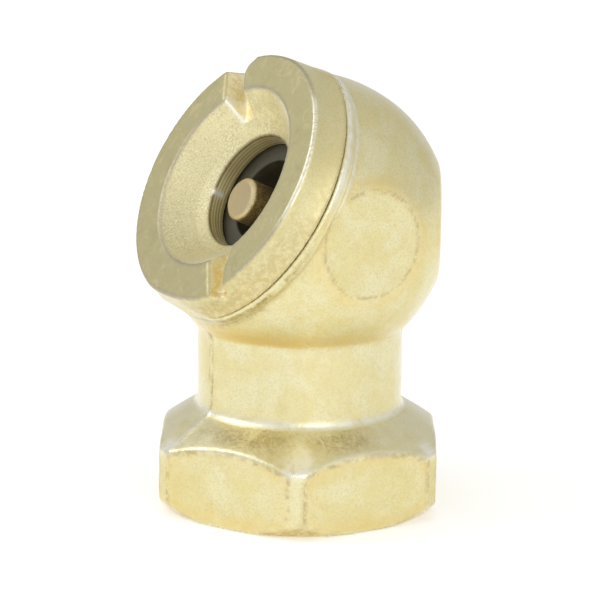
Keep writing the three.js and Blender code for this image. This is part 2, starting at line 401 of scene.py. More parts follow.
def crossing_quads(inside, index):
    """A quad round each grid edge that crosses zero, joining the points of its four cells."""
    quads = []
    for axis in range(3):
        u, v = (axis + 1) % 3, (axis + 2) % 3
        first = np.take(inside, range(inside.shape[axis] - 1), axis)
        second = np.take(inside, range(1, inside.shape[axis]), axis)
        where = np.stack(np.nonzero(first != second), axis=1)
        where = where[(where[:, u] > 0) & (where[:, v] > 0)]
        flip = first[tuple(where.T)]
        ring = []
        for du, dv in ((1, 1), (0, 1), (0, 0), (1, 0)):
            at = where.copy()
            at[:, u] -= du
            at[:, v] -= dv
            ring.append(index[tuple(at.T)])
        quad = np.stack(ring, axis=1)
        quad[~flip] = quad[~flip][:, ::-1]
        quads.append(quad)
    return np.concatenate(quads)


def surface_net(field, low, high, step):
    """Vertices and quads of a distance field's zero surface, pulled onto it by Newton steps."""
    values = sample_grid(field, low, high, step)
    total, count = cell_crossings(values)
    used = count > 0
    index = np.full(count.shape, -1, np.int64)
    index[used] = np.arange(used.sum())
    corner = np.stack(np.nonzero(used), axis=1)
    verts = (corner + total[used] / count[used][:, None]) * step + np.array(low)
    faces = crossing_quads(values < 0, index)
    for _ in range(NEWTON_STEPS):
        d = field(verts)
        g = gradient(field, verts, 0.03)
        g /= np.maximum(np.linalg.norm(g, axis=1, keepdims=True), 0.3)
        verts = verts - np.clip(d, -0.4 * step, 0.4 * step)[:, None] * g
    return verts, faces


def gradient(field, points, e):
    """The field's slope at each point, from samples a distance e away on either side."""
    steps = np.eye(3) * e
    return np.stack([(field(points + s) - field(points - s)) / (2 * e) for s in steps], axis=1)


def bend(field, points, e):
    """Mean bend of the surface: positive on outer edges, negative in hollows, per millimetre."""
    steps = np.eye(3) * e
    around = sum(field(points + s) + field(points - s) for s in steps)
    return around / (e * e) - 6 * field(points) / (e * e)


def put(name, verts, faces, body, material, nodes=(), attributes=None):
    """A smooth-shaded object from millimetre vertices, riding on a CAD body."""
    mesh = bpy.data.meshes.new(name)
    faces = faces.tolist() if isinstance(faces, np.ndarray) else faces
    mesh.from_pydata((np.asarray(verts) * MM).tolist(), [], faces)
    for key, values in (attributes or {}).items():
        layer = mesh.attributes.new(key, "FLOAT", "POINT")
        layer.data.foreach_set("value", np.asarray(values, np.float32))
    mesh.shade_smooth()
    obj = bpy.data.objects.new(name, mesh)
    bpy.context.scene.collection.objects.link(obj)
    mesh.materials.append(material)
    if nodes:
        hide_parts(*nodes)
    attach(obj, body)
    return obj


# ---------------------------------------------------------------- turned pieces
def softened(profile, radius, steps=4):
    """A closed profile with each corner rounded."""
    out = []
    count = len(profile)
    for i in range(count):
        a, b, c = (np.array(profile[(i + k) % count], float) for k in (-1, 0, 1))
        back, ahead = a - b, c - b
        reach = min(radius, 0.45 * np.linalg.norm(back), 0.45 * np.linalg.norm(ahead))
        start = b + back / np.linalg.norm(back) * reach
        end = b + ahead / np.linalg.norm(ahead) * reach
        for t in np.linspace(0, 1, steps):
            out.append((1 - t) ** 2 * start + 2 * t * (1 - t) * b + t * t * end)
    return np.array(out)


def revolve(profile, segments=128):
    """Vertices and quads of a closed ring profile turned about the head's axis."""
    profile = np.asarray(profile)
    rows = len(profile)
    angle = np.arange(segments) * 2 * math.pi / segments
    x = profile[:, 0][None, :] * np.cos(angle)[:, None]
    y = profile[:, 0][None, :] * np.sin(angle)[:, None]
    z = np.broadcast_to(profile[:, 1][None, :], x.shape)
    verts = np.stack([x, y, z], axis=-1).reshape(-1, 3)
    i, j = np.meshgrid(np.arange(segments), np.arange(rows), indexing="ij")
    i2, j2 = (i + 1) % segments, (j + 1) % rows
    quads = np.stack([i * rows + j, i2 * rows + j, i2 * rows + j2, i * rows + j2], axis=-1)
    return verts, quads.reshape(-1, 4)


def tube(path, radius, sides=14):
    """Vertices and faces of a round wire along a path, closed at both ends."""
    tangent = np.gradient(path, axis=0)
    tangent /= np.linalg.norm(tangent, axis=1, keepdims=True)
    side = np.cross(tangent, [0, 0, 1.0])
    side /= np.linalg.norm(side, axis=1, keepdims=True)
    up = np.cross(side, tangent)
    a = np.arange(sides) * 2 * math.pi / sides
    ring = np.cos(a)[None, :, None] * side[:, None, :] + np.sin(a)[None, :, None] * up[:, None, :]
    verts = (path[:, None, :] + radius * ring).reshape(-1, 3)
    faces = []
    for i in range(len(path) - 1):
        for j in range(sides):
            k = (j + 1) % sides
            faces.append((i * sides + j, i * sides + k, (i + 1) * sides + k, (i + 1) * sides + j))
    faces.append(tuple(range(sides))[::-1])
    faces.append(tuple(range((len(path) - 1) * sides, len(path) * sides)))
    return verts, faces


# ---------------------------------------------------------------- materials
class Paint:
    """A small helper that adds shader nodes and links them."""

    def __init__(self, name, metallic, specular=0.5):
        self.material = bpy.data.materials.new(name)
        self.material.use_nodes = True
        self.tree = self.material.node_tree
        self.shader = self.tree.nodes["Principled BSDF"]
        self.shader.inputs["Metallic"].default_value = metallic
        self.shader.inputs["Specular IOR Level"].default_value = specular
        self.coord = self.tree.nodes.new("ShaderNodeTexCoord").outputs["Object"]

    def node(self, kind, **settings):
        made = self.tree.nodes.new(kind)
        for key, value in settings.items():
            setattr(made, key, value)
        return made

    def feed(self, socket, value):
        """Links another node's output to the socket, or sets the socket to a plain value."""
        if hasattr(value, "links"):
            self.tree.links.new(value, socket)
        else:
            socket.default_value = value

    def noise(self, size_mm, detail=3.0, roughness=0.6, distortion=0.0):
        """Noise fixed to the object, about size_mm from one patch to the next."""
        made = self.node("ShaderNodeTexNoise")
        self.feed(made.inputs["Vector"], self.coord)
        made.inputs["Scale"].default_value = 1000 / size_mm
        made.inputs["Detail"].default_value = detail
        made.inputs["Roughness"].default_value = roughness
        made.inputs["Distortion"].default_value = distortion
        return made.outputs["Fac"]

    def grazing_sheen(self, colour, strength):
        """A painted sheen: the colour washed towards white where the surface turns edge-on to the view.
        """
        weight = self.node("ShaderNodeLayerWeight")
        weight.inputs["Blend"].default_value = 0.5
        return self.mix(self.span(weight.outputs["Facing"], 0.58, 1.0, 0, strength), colour, SHEEN_WHITE)

    def attribute(self, name):
        return self.node("ShaderNodeAttribute", attribute_name=name).outputs["Fac"]

    def math(self, operation, a, b=0.0, clamp=False):
        made = self.node("ShaderNodeMath", operation=operation, use_clamp=clamp)
        self.feed(made.inputs[0], a)
        self.feed(made.inputs[1], b)
        return made.outputs[0]

    def times(self, a, b, clamp=False):
        return self.math("MULTIPLY", a, b, clamp)

    def span(self, value, low, high, out_low=0.0, out_high=1.0):
        """value between low and high, mapped smoothly and clamped to the output range."""
        made = self.node("ShaderNodeMapRange", interpolation_type="SMOOTHSTEP")
        self.feed(made.inputs["Value"], value)
        made.inputs["From Min"].default_value = low
        made.inputs["From Max"].default_value = high
        made.inputs["To Min"].default_value = out_low
        made.inputs["To Max"].default_value = out_high
        return made.outputs["Result"]

    def mix(self, factor, a, b):
        """Colour a where the factor is 0 and colour b where it is 1."""
        made = self.node("ShaderNodeMix", data_type="RGBA")
        self.feed(made.inputs["Factor"], factor)
        self.feed(made.inputs["A"], a)
        self.feed(made.inputs["B"], b)
        return made.outputs["Result"]

    def over(self, colour, top, mask, strength=1.0):
        """The colour with top laid over it where the mask is 1, at the given strength."""
        if strength < 1:
            mask = self.times(mask, strength)
        return self.mix(mask, colour, top)

    def finish(self, colour, roughness, height=None, distance_mm=0.02):
        """Puts colour, roughness and a bump of the given height on the shader."""
        self.feed(self.shader.inputs["Base Color"], colour)
        self.feed(self.shader.inputs["Roughness"], roughness)
        if height is not None:
            bump = self.node("ShaderNodeBump")
            bump.inputs["Strength"].default_value = 1.0
            bump.inputs["Distance"].default_value = distance_mm * MM
            self.feed(bump.inputs["Height"], height)
            self.feed(self.shader.inputs["Normal"], bump.outputs["Normal"])
        return self.material


def rgb(r, g, b):
    return (r, g, b, 1.0)


# Colours of the forging.

PALE_GOLD = rgb(0.81, 0.755, 0.47)
WARM_GOLD = rgb(0.78, 0.69, 0.345)
PATCH_GOLD = rgb(0.74, 0.62, 0.28)
OLIVE_GOLD = rgb(0.67, 0.61, 0.36)
AMBER = rgb(0.79, 0.61, 0.235)
# Pale white for painted highlights and wear, and for painted glints in the dish and the slots.
WEAR_AND_HIGHLIGHT_WHITE = rgb(1.0, 0.98, 0.86)
# White of the painted sheen at grazing angles.
SHEEN_WHITE = rgb(0.98, 0.97, 0.92)
TARNISH = rgb(0.55, 0.43, 0.20)
STAIN = rgb(0.30, 0.18, 0.07)
SCUFF = rgb(0.60, 0.50, 0.20)
SCRATCH = rgb(0.36, 0.26, 0.09)
BROWN_LINE = rgb(0.46, 0.34, 0.15)

# Colours of the mouth ring.
RING_PALE = rgb(0.76, 0.70, 0.41)
RING_WARM = rgb(0.73, 0.65, 0.34)
RING_AMBER = rgb(0.80, 0.64, 0.29)
RIM_DULL = rgb(0.49, 0.445, 0.25)
RIM_WORN_PATCH = rgb(0.70, 0.62, 0.38)
RIM_OLIVE = rgb(0.42, 0.385, 0.20)
DISH_PALE = rgb(0.83, 0.76, 0.46)
DISH_SHADE = rgb(0.60, 0.53, 0.28)
DISH_SPECKLE = rgb(0.52, 0.43, 0.21)
RING_GRAIN = rgb(0.56, 0.50, 0.27)
# Slot colours, painted lighter than the metal to stand in for light inside the slots.
SLOT_BRIGHT = rgb(1.0, 0.93, 0.62)
SLOT_DEEP = rgb(0.90, 0.72, 0.34)
LAND_BRIGHT = rgb(1.0, 0.92, 0.56)
LAND_DARK = rgb(0.58, 0.47, 0.21)
LAND_SHADE = rgb(0.16, 0.11, 0.04)
GREY_LINE = rgb(0.43, 0.39, 0.31)


def scuffs(paint, colour):
    """Broad rubbed patches with fine dark scratches inside them."""
    cover = paint.span(paint.noise(1.6, 4, 0.7, 0.5), 0.38, 0.56)
    rubbed = paint.times(paint.attribute("scuff"), cover)
    colour = paint.over(colour, SCUFF, rubbed, 0.6)
    scratches = paint.span(paint.noise(0.32, 5, 0.8, 0.6), 0.4, 0.58)
    return paint.over(colour, SCRATCH, paint.times(rubbed, scratches, True), 0.85)


def forged_brass():
    """The tumbled forging: clouded pale gold, with the marks that its attributes place."""
    paint = Paint("forged_brass", 1.0)
    cloud = paint.noise(2.6, 4, 0.6, 0.6)
    mottle = paint.noise(0.6, 4, 0.7)
    grain = paint.noise(0.15, 3, 0.7)
    colour = paint.mix(paint.span(cloud, 0.36, 0.64), PALE_GOLD, WARM_GOLD)
    patches = paint.span(paint.noise(1.3, 5, 0.65, 0.8), 0.52, 0.72, 0, 0.4)
    colour = paint.over(colour, PATCH_GOLD, patches)
    colour = paint.over(colour, OLIVE_GOLD, paint.span(grain, 0.44, 0.64, 0, 0.5))
    # Amber stains, and under the ball a painted reflection of the neck.
    amber = paint.times(paint.attribute("amber"), paint.span(cloud, 0.2, 0.55, 0.55, 1.0))
    colour = paint.over(colour, AMBER, amber)
    patchy = paint.span(paint.noise(1.1, 5, 0.75, 0.6), 0.4, 0.62)
    stained = paint.times(paint.attribute("grime_and_shade"), patchy, True)
    colour = paint.over(colour, TARNISH, stained, 0.6)
    deep = paint.times(paint.span(stained, 0.55, 1.0), paint.span(mottle, 0.46, 0.62), True)
    colour = paint.over(colour, STAIN, deep, 0.55)
    colour = scuffs(paint, colour)
    broken = paint.span(paint.noise(0.7, 4, 0.7), 0.40, 0.58)
    colour = paint.over(colour, BROWN_LINE, paint.times(paint.attribute("line"), broken, True), 0.85)
    colour = paint.over(colour, TARNISH, paint.span(paint.noise(0.3, 2, 0.5), 0.71, 0.77, 0, 0.35))
    wear = paint.attribute("edge")
    colour = paint.over(colour, PALE_GOLD, wear, 0.7)
    # Painted highlights, partly wear, then a painted sheen where the surface turns edge-on.
    wear_and_highlight = paint.times(paint.attribute("wear_and_highlight"), paint.span(mottle, 0.3, 0.55, 0.35, 1.0))
    colour = paint.grazing_sheen(paint.over(colour, WEAR_AND_HIGHLIGHT_WHITE, wear_and_highlight), 0.55)
    rough = paint.span(mottle, 0.3, 0.7, 0.36, 0.52)
    rough = paint.math("ADD", rough, paint.times(stained, 0.2))
    rough = paint.math("SUBTRACT", rough, paint.times(wear, 0.1), True)
    rough = paint.math("SUBTRACT", rough, paint.times(wear_and_highlight, 0.15), True)
    height = paint.math("ADD", paint.times(mottle, 0.9), paint.times(grain, 0.5))
    return paint.finish(colour, rough, height, 0.026)


def ring_ground(paint, cloud, rim, dish):
    """The ring's base colours: a dull, mottled rim and a pale, speckled dish shaded above, with painted
    glints.
    """
    colour = paint.mix(paint.span(cloud, 0.36, 0.64), RING_PALE, RING_WARM)
    colour = paint.over(colour, RIM_DULL, rim, 0.85)
    colour = paint.over(colour, DISH_PALE, dish)
    pocked = paint.times(paint.span(paint.noise(1.0, 5, 0.7, 0.8), 0.5, 0.7), rim)
    colour = paint.over(colour, RIM_WORN_PATCH, pocked, 0.7)
    olive = paint.times(paint.span(paint.noise(1.6, 5, 0.7, 0.6), 0.5, 0.7), rim)
    colour = paint.over(colour, RIM_OLIVE, olive, 0.45)
    shaded = paint.span(paint.noise(0.9, 4, 0.7), 0.35, 0.6)
    colour = paint.over(colour, DISH_SHADE, paint.times(paint.attribute("upper"), shaded), 0.55)
    fleck = paint.noise(0.11, 3, 0.75)
    patchy = paint.times(paint.span(cloud, 0.4, 0.6, 0.35, 1.0), dish)
    colour = paint.over(colour, DISH_SPECKLE, paint.times(paint.span(fleck, 0.5, 0.64), patchy), 0.7)
    # White flecks in the dish are painted glints.
    return paint.over(colour, WEAR_AND_HIGHLIGHT_WHITE, paint.times(paint.span(fleck, 0.46, 0.34), patchy), 0.8)


def slots_painted_bright(paint, colour):
    """The slots' floors and walls, bright and streaky where the cutter left them clean, and painted
    lighter to stand in for light falling inside them.
    """
    streaky = paint.noise(0.55, 5, 0.7, 0.8)
    gilt = paint.mix(paint.span(streaky, 0.36, 0.62), SLOT_BRIGHT, SLOT_DEEP)
    gilt = paint.over(gilt, WEAR_AND_HIGHLIGHT_WHITE, paint.span(streaky, 0.44, 0.34, 0, 0.7))
    return paint.over(colour, gilt, paint.attribute("slot"))


def tool_lines(paint, colour, land, depth):
    """The turning lines on the bore's land, coarse and fine together, darker at its upper side."""
    coarse = paint.math("SINE", paint.times(depth, 27.0))
    close = paint.math("SINE", paint.times(depth, 68.0))
    lines = paint.span(paint.math("ADD", coarse, close), -1.0, 1.4)
    colour = paint.over(colour, paint.mix(lines, LAND_BRIGHT, LAND_DARK), land)
    return paint.over(colour, LAND_SHADE, paint.attribute("shade"))


def turned_brass():
    """The mouth ring: its ground, its slots, its land and the marks laid over them."""
    paint = Paint("turned_brass", 1.0)
    cloud = paint.noise(2.4, 4, 0.6, 0.4)
    mottle = paint.noise(0.4, 4, 0.7)
    grain = paint.noise(0.14, 3, 0.7)
    dish = paint.attribute("dish")
    land = paint.attribute("land")
    depth = paint.attribute("depth")
    colour = ring_ground(paint, cloud, paint.attribute("rim"), dish)
    colour = paint.over(colour, RING_GRAIN, paint.span(grain, 0.42, 0.68, 0, 0.4))
    amber = paint.times(paint.attribute("amber"), paint.span(mottle, 0.35, 0.6, 0.35, 1.0))
    colour = paint.over(colour, RING_AMBER, amber)
    colour = slots_painted_bright(paint, colour)
    # Dirt, and on the ring's lower flank painted shade as well.
    grime_and_shade = paint.times(paint.attribute("grime_and_shade"), paint.span(mottle, 0.34, 0.6), True)
    colour = paint.over(colour, TARNISH, grime_and_shade, 0.65)
    colour = paint.over(colour, GREY_LINE, paint.attribute("line"))
    colour = tool_lines(paint, colour, land, depth)
    # Painted highlights, then a painted sheen where the surface turns edge-on.
    wear_and_highlight = paint.times(paint.attribute("wear_and_highlight"), paint.span(mottle, 0.25, 0.5, 0.3, 1.0))
    colour = paint.grazing_sheen(paint.over(colour, WEAR_AND_HIGHLIGHT_WHITE, wear_and_highlight), 0.45)
    rough = paint.span(mottle, 0.3, 0.7, 0.42, 0.56)
    # The dish is the most pebbled surface and the bore's land the smoothest, but for its lines.
    texture = paint.math("ADD", paint.times(mottle, 0.8), paint.times(grain, 0.4))
    pebbled = paint.math("ADD", 0.75, paint.times(dish, 0.9))
    pebbled = paint.math("SUBTRACT", pebbled, paint.times(land, 0.75))
    grooves = paint.times(paint.math("SINE", paint.times(depth, 70.0)), land)
    height = paint.math("ADD", paint.times(texture, pebbled), paint.times(grooves, 0.42))
    return paint.finish(colour, rough, height, 0.022)


def inner_brass():
    """Darker, finely scratched brass; the depressor's tip is duller and its edge brighter."""
    paint = Paint("inner_brass", 1.0)
    mottle = paint.noise(0.6, 4, 0.7)
    scratch = paint.noise(0.16, 3, 0.7, 3.0)
    colour = paint.mix(paint.span(mottle, 0.35, 0.65), rgb(0.50, 0.38, 0.20), rgb(0.34, 0.24, 0.11))
    colour = paint.over(colour, rgb(0.85, 0.72, 0.42), paint.span(scratch, 0.52, 0.56, 0, 0.95))
    colour = paint.over(colour, rgb(0.52, 0.43, 0.26), paint.attribute("tip"), 0.9)
    colour = paint.over(colour, rgb(0.74, 0.64, 0.42), paint.attribute("wear_and_highlight"))
    rough = paint.span(scratch, 0.3, 0.7, 0.3, 0.5)
    return paint.finish(colour, rough, paint.math("ADD", mottle, scratch), 0.02)


def black_rubber():
    paint = Paint("black_rubber", 0.0, 0.6)
    mottle = paint.noise(0.8, 4, 0.6)
    grain = paint.noise(0.12, 2, 0.6)
    colour = paint.mix(mottle, rgb(0.035, 0.032, 0.02), rgb(0.075, 0.068, 0.042))
    return paint.finish(colour, paint.span(mottle, 0.3, 0.7, 0.36, 0.55), grain, 0.012)


def red_fibre():
    paint = Paint("red_fibre", 0.0, 0.3)
    mottle = paint.noise(0.5, 5, 0.7, 1.5)
    colour = paint.mix(mottle, rgb(0.20, 0.05, 0.025), rgb(0.34, 0.11, 0.06))
    return paint.finish(colour, paint.span(mottle, 0.3, 0.7, 0.7, 0.9), mottle, 0.03)


def spring_steel():
    paint = Paint("spring_steel", 1.0)
    drawn = paint.noise(0.3, 3, 0.6, 1.0)
    colour = paint.mix(drawn, rgb(0.45, 0.46, 0.48), rgb(0.66, 0.67, 0.69))
    return paint.finish(colour, paint.span(drawn, 0.3, 0.7, 0.2, 0.36), drawn, 0.008)


FORGED = forged_brass()
TURNED = turned_brass()
INNER = inner_brass()
RUBBER = black_rubber()
FIBRE = red_fibre()
STEEL = spring_steel()


# ---------------------------------------------------------------- pieces
def band(value, centre, width):
    """A soft stripe: 1 where the value is at the centre, fading over the width."""
    return np.exp(-(((value - centre) / width) ** 2))


def ramp(value, start, end):
    """0 at the start and before it, 1 at the end and past it; the end may be the lower one."""
    return np.clip((value - start) / (end - start), 0, 1)


def within(value, low, high):
    """1 between low and high, 0 outside them."""
    return ((value > low) & (value < high)).astype(float)


NEAR_A_FLAT = 8.5


def flat_disc(p):
    """Distance from the middle of the nearest flat on the ball, measured over the flat."""
    q = p - HEAD_CENTRE
    best = np.full(len(p), 99.0)
    for i in range(6):
        a = HEX_TURN + i * math.pi / 3
        out = q[:, 0] * math.cos(a) + q[:, 1] * math.sin(a)
        over = np.sqrt(np.maximum((q ** 2).sum(axis=1) - out ** 2, 0))
        best = np.where(out > NEAR_A_FLAT, np.minimum(best, over), best)
    return best


def corner_offset(x, y):
    """Sideways distance from the nearest corner of the foot's hexagon."""
    turn = (np.arctan2(y, x) - HEX_TURN) % (math.pi / 3) - math.pi / 6
    return np.hypot(x, y) * np.abs(np.sin(turn))


class BodyPoints:
    """The measures that place the forging's marks, one value for each vertex."""

    def __init__(self, verts):
        q = to_head(verts)
        self.x, self.y, self.z = verts.T
        self.r = np.hypot(self.x, self.y)
        self.up_slope, self.h = q[:, 1], q[:, 2]
        self.rh = np.hypot(q[:, 0], q[:, 1])
        self.from_ball = np.linalg.norm(q, axis=1)
        self.disc = flat_disc(verts)
        self.corner = corner_offset(self.x, self.y)
        self.upper_chamfer = half_plane(self.r, self.z, CHAMFER[0], CHAMFER[1])
        self.lower_chamfer = half_plane(self.r, self.z, *LOWER_CHAMFER)
        self.bearing = np.degrees(np.arctan2(self.y, self.x)) - FRONT_CORNER
        self.on_face = (hexagon_distance(self.x, self.y, HEX_HALF) > -0.08) & (self.z < 5.5)
        self.on_neck = (self.z > 7) & (self.z < 12.4)
        self.outside = (self.h < 4.93) & (self.rh > 7.6) | (self.z < 15)


def amber_marks(p):
    """Golden tint: a painted reflection of the neck on a band under the ball, and amber stains round
    the ball's flats and along the foot's edges.
    """
    # Painted reflection of the neck on the ball's underside, strongest towards the front.
    neck_reflection = ramp(p.z, 13.7, 12.7) * (p.z > 12.15) * (p.r > NECK_R - 0.2) * (p.r < 9.2)
    neck_reflection = neck_reflection * 0.95 * (0.55 + 0.45 * band(p.bearing, -22, 30))
    round_flats = band(p.disc, 3.95, 0.5) * 0.4
    corners = p.on_face * band(p.corner, 0.7, 0.8) * 0.3
    chamfer = p.on_face * band(p.upper_chamfer, -0.4, 0.5) * 0.3
    foot_edge = band(p.z, 0.5, 0.7) * 0.45 * (p.r > 8.5)
    return np.clip((neck_reflection + round_flats + corners + chamfer + foot_edge) * p.outside, 0, 0.85)


def brown_lines(p):
    """Thin dark lines: round the ball's flats, beside the foot's edges and the flash line."""
    round_flats = band(p.disc, 3.5, 0.1) * 0.75
    corners = p.on_face * band(p.corner, 0.56, 0.11) * (p.z < 4.6) * 1.2
    foot_edge = band(p.lower_chamfer, -0.02, 0.09) * (p.z < 1.4) * (p.r > 9) * 0.6
    chamfer = p.on_face * band(p.upper_chamfer, -0.22, 0.11) * 1.2
    flash = (band(p.x, 0.16, 0.09) * 1.2 + band(p.x, -0.2, 0.09)) * p.on_neck
    return np.clip((round_flats + corners + foot_edge + chamfer + flash) * p.outside, 0, 1)


def wear_and_highlight_marks(p):
    """Painted highlights, partly wear: pale metal at the seam's edge, the neck's foot and the front
    corner.
    """
    high_side = ramp(p.up_slope, -0.5, 2)
    # Painted highlight on the seam's edge, on its upper side only.
    seam_edge = band(p.h, 4.7, 0.16) * (p.rh > 9.2) * high_side
    neck_foot = band(p.z, 6.88, 0.2) * (p.r < 7.6) * 0.75
    ridge = band(p.x, 0, 0.12) * within(p.z, 4.6, 6.6) * (p.r > 7)
    corner_tips = band(p.z, 4.75, 0.4) * band(p.corner, 0, 0.8)
    neck = within(p.z, 7, 12.1) * (p.r < 7.4) * 0.05
    # Painted highlight at the front corner, and a paler painted band over the chamfer.
    front = band(p.bearing, 1, 5) * band(p.z, 5.5, 0.75) * (p.r > 7.6)
    chamfer = within(p.z, 5.0, 6.75) * (p.r > 7.4) * 0.22
    # Painted highlight lines behind the seam, on the upper side.
    behind_seam = (band(p.h, 4.2, 0.5) * 0.25 + band(p.h, 3.85, 0.1) * 0.6) * (p.rh > 8.9)
    behind_seam = behind_seam * ramp(p.up_slope, -1, 2)
    wear_and_highlight = seam_edge + neck_foot + ridge + corner_tips + neck + front + chamfer + behind_seam
    # Painted highlight along the chamfer's edge.
    chamfer_edge = band(p.upper_chamfer, 0, 0.09) * p.on_face * 0.2
    return np.clip(wear_and_highlight * p.outside + chamfer_edge, 0, 0.9)


def scuff_marks(p):
    """Scratched patches on the foot's chamfer either side of its front corner, and by the seam."""
    under_seam = band(p.h, 4.5, 0.32) * (p.rh > 8.2) * ramp(p.up_slope, 2, -6)
    on_chamfer = within(p.z, 4.7, 6.75) * (p.r > 7.35)
    sides = band(p.bearing, 20, 16) + band(p.bearing, -25, 21)
    return np.clip(band(p.z, 6.05, 0.5) * on_chamfer * sides + under_seam, 0, 1)


def body_dirt_and_darkening(p, curve):
    """Dirt in the hollows and the seam and below the mouth, and darkening on every inner surface."""
    hollow = ramp(-curve, 0.15, 1.55) * (p.h < 4.6) * np.where(p.z < 7.6, 0.1, 0.35)
    below_mouth = band(p.h, 4.3, 0.7) * (p.up_slope < -6.5) * (p.rh > 7.6) * 0.9
    seam = (p.h > 4.88) * (p.rh > 9)
    inner = (p.from_ball < 9.1) & (p.z > 13)
    return np.clip(hollow + below_mouth + seam + inner, 0, 1)


BODY_LOW, BODY_HIGH = (-10.2, -11.2, -0.4), (10.2, 11.2, 31.0)
BODY_STEP = 0.2


def build_body():
    verts, faces = surface_net(body_distance, BODY_LOW, BODY_HIGH, BODY_STEP)
    curve = bend(body_distance, verts, 0.22)
    p = BodyPoints(verts)
    attributes = {
        "edge": ramp(curve, 0.7, 3.2),
        "grime_and_shade": body_dirt_and_darkening(p, curve),
        "amber": amber_marks(p),
        "line": brown_lines(p),
        "wear_and_highlight": wear_and_highlight_marks(p),
        "scuff": scuff_marks(p),
    }
    put("forged_body", verts, faces, "housing", FORGED, ["body_casting"], attributes)


THREAD_PITCH = 1.411
THREAD_CREST_R = 5.7
THREAD_HEIGHT = 1.1
THREAD_OUTER_R = 7.0
THREAD_TOP = 6.24


def thread_radius(z, angle):
    """Inner radius of the tapered, right-handed thread, which fades out upwards."""
    phase = (z / THREAD_PITCH - angle / (2 * math.pi)) % 1.0
    tooth = np.clip((1 - np.abs(2 * phase - 1) - 0.1) / 0.8, 0, 1)
    fade = np.clip((THREAD_TOP - 0.14 - z) / 0.9, 0, 1)
    inner = THREAD_CREST_R - z / 32 + THREAD_HEIGHT * tooth * fade
    entry_chamfer = 6.9 - z * 1.09
    return np.maximum(inner, entry_chamfer)


def build_thread():
    """The 1/4-18 pipe thread inside the foot, as a closed sleeve."""
    sectors, rows = 192, 92
    z = np.linspace(0.03, THREAD_TOP, rows)
    angle = np.arange(sectors) * 2 * math.pi / sectors
    zz, aa = np.meshgrid(z, angle, indexing="xy")
    outer = np.full((sectors, 1), THREAD_OUTER_R)
    top, bottom = np.full((sectors, 1), z[-1]), np.full((sectors, 1), z[0])
    radius = np.concatenate([thread_radius(zz, aa), outer, outer], axis=1)
    level = np.concatenate([zz, top, bottom], axis=1)
    verts = np.stack([radius * np.cos(angle)[:, None], radius * np.sin(angle)[:, None], level], -1)
    count = rows + 2
    i, j = np.meshgrid(np.arange(sectors), np.arange(count), indexing="ij")
    i2, j2 = (i + 1) % sectors, (j + 1) % count
    quads = np.stack([i * count + j, i * count + j2, i2 * count + j2, i2 * count + j], axis=-1)
    crest = ramp(radius.reshape(-1), 6.5, 5.6)
    attributes = {"edge": crest * 0.5, "grime_and_shade": 0.35 * (1 - crest)}
    attributes.update({key: np.zeros(len(crest)) for key in ("amber", "line", "wear_and_highlight", "scuff")})
    put(
        "inlet_thread", verts.reshape(-1, 3), quads.reshape(-1, 4), "housing", FORGED,
        attributes=attributes,
    )


class RingPoints:
    """The measures that place the mouth ring's marks, one value for each vertex."""

    def __init__(self, verts):
        self.x, self.y, self.h = verts.T
        self.r = np.hypot(self.x, self.y)
        self.along, self.across = slot_axes(verts)
        left, right, floor = slot_edges(self.along)
        lean = SLOT_LEAN * (RIM_H - self.h)
        self.left_wall = left - lean
        between = (self.across < left - lean + 0.02) & (self.across > right + lean - 0.02)
        level = (self.h < 7.02) & (self.h > floor - 0.1)
        self.in_slot = between & level & (np.abs(self.along) > SLOT_START + 0.25)
        self.in_dish = (self.h < 7.1) & (self.r < 6.5) & (self.r > LAND_R + 0.015) & ~self.in_slot
        self.lit_side = ramp(self.x, 4.5, 6.5) * ramp(self.y, -2.5, -0.5) * ramp(self.y, 7.4, 6.4)
        sharp = ramp(bend(ring_distance, verts, 0.15), 1.2, 4.2)
        clear_of_slots = np.abs(self.across + 0.3) > 1.5
        self.rim_edge = sharp * (self.h > 6.7) * (self.r > 8.0) * clear_of_slots


def ring_highlights(p):
    """Painted highlights on the ring: the upper slot's left wall, the rim's lit edge, a streak inside.
    """
    wall = band(p.across, p.left_wall + 0.06, 0.13) * (p.r < 6.7) * (p.along > 5.1)
    wall = wall * within(p.h, 5.3, 7.1)
    turn = np.degrees(np.arctan2(p.y, p.x))
    streak = band(turn, STREAK_BEARING, 3) * (p.r < 4.1) * (p.h > 4.0)
    return np.clip(wall + p.rim_edge * p.lit_side * 0.9 + streak, 0, 1)


def ring_lines(p):
    """Thin grey lines round the dish's edge, and painted shade as a grey line on the rim's outer edge
    where it isn't lit.
    """
    dish_edge = band(p.r, 6.42, 0.13) * (p.h > 6.9) * 0.7
    return np.clip(dish_edge + p.rim_edge * (1 - p.lit_side) * 0.7, 0, 1) * ~p.in_slot


def land_shade(p):
    """Shade on the upper side of the bore's land and at its outer edge."""
    shade = np.clip(p.y / 4, 0, 0.28) + band(p.h, 4.76, 0.07)
    return np.clip((p.r < LAND_R + 0.085) * (p.h > 3.5) * shade, 0, 0.9)


def ring_grime_and_shade(p):
    """Dirt along the seam, and brown mottling with painted shade on the flank of the ring's lower side.
    """
    seam = band(p.h, 5.05, 0.16) * (p.r > 8.5)
    # Brown mottling and painted shade, darker towards the ring's lower side.
    flank = band(p.h, 5.9, 1.2) * (p.r > 8.7) * ramp(p.y, 1, -3) * 0.8
    return np.clip(seam + flank, 0, 1)


RING_LOW, RING_HIGH = (-9.9, -9.9, -1.9), (9.9, 9.9, 7.6)
RING_STEP = 0.14


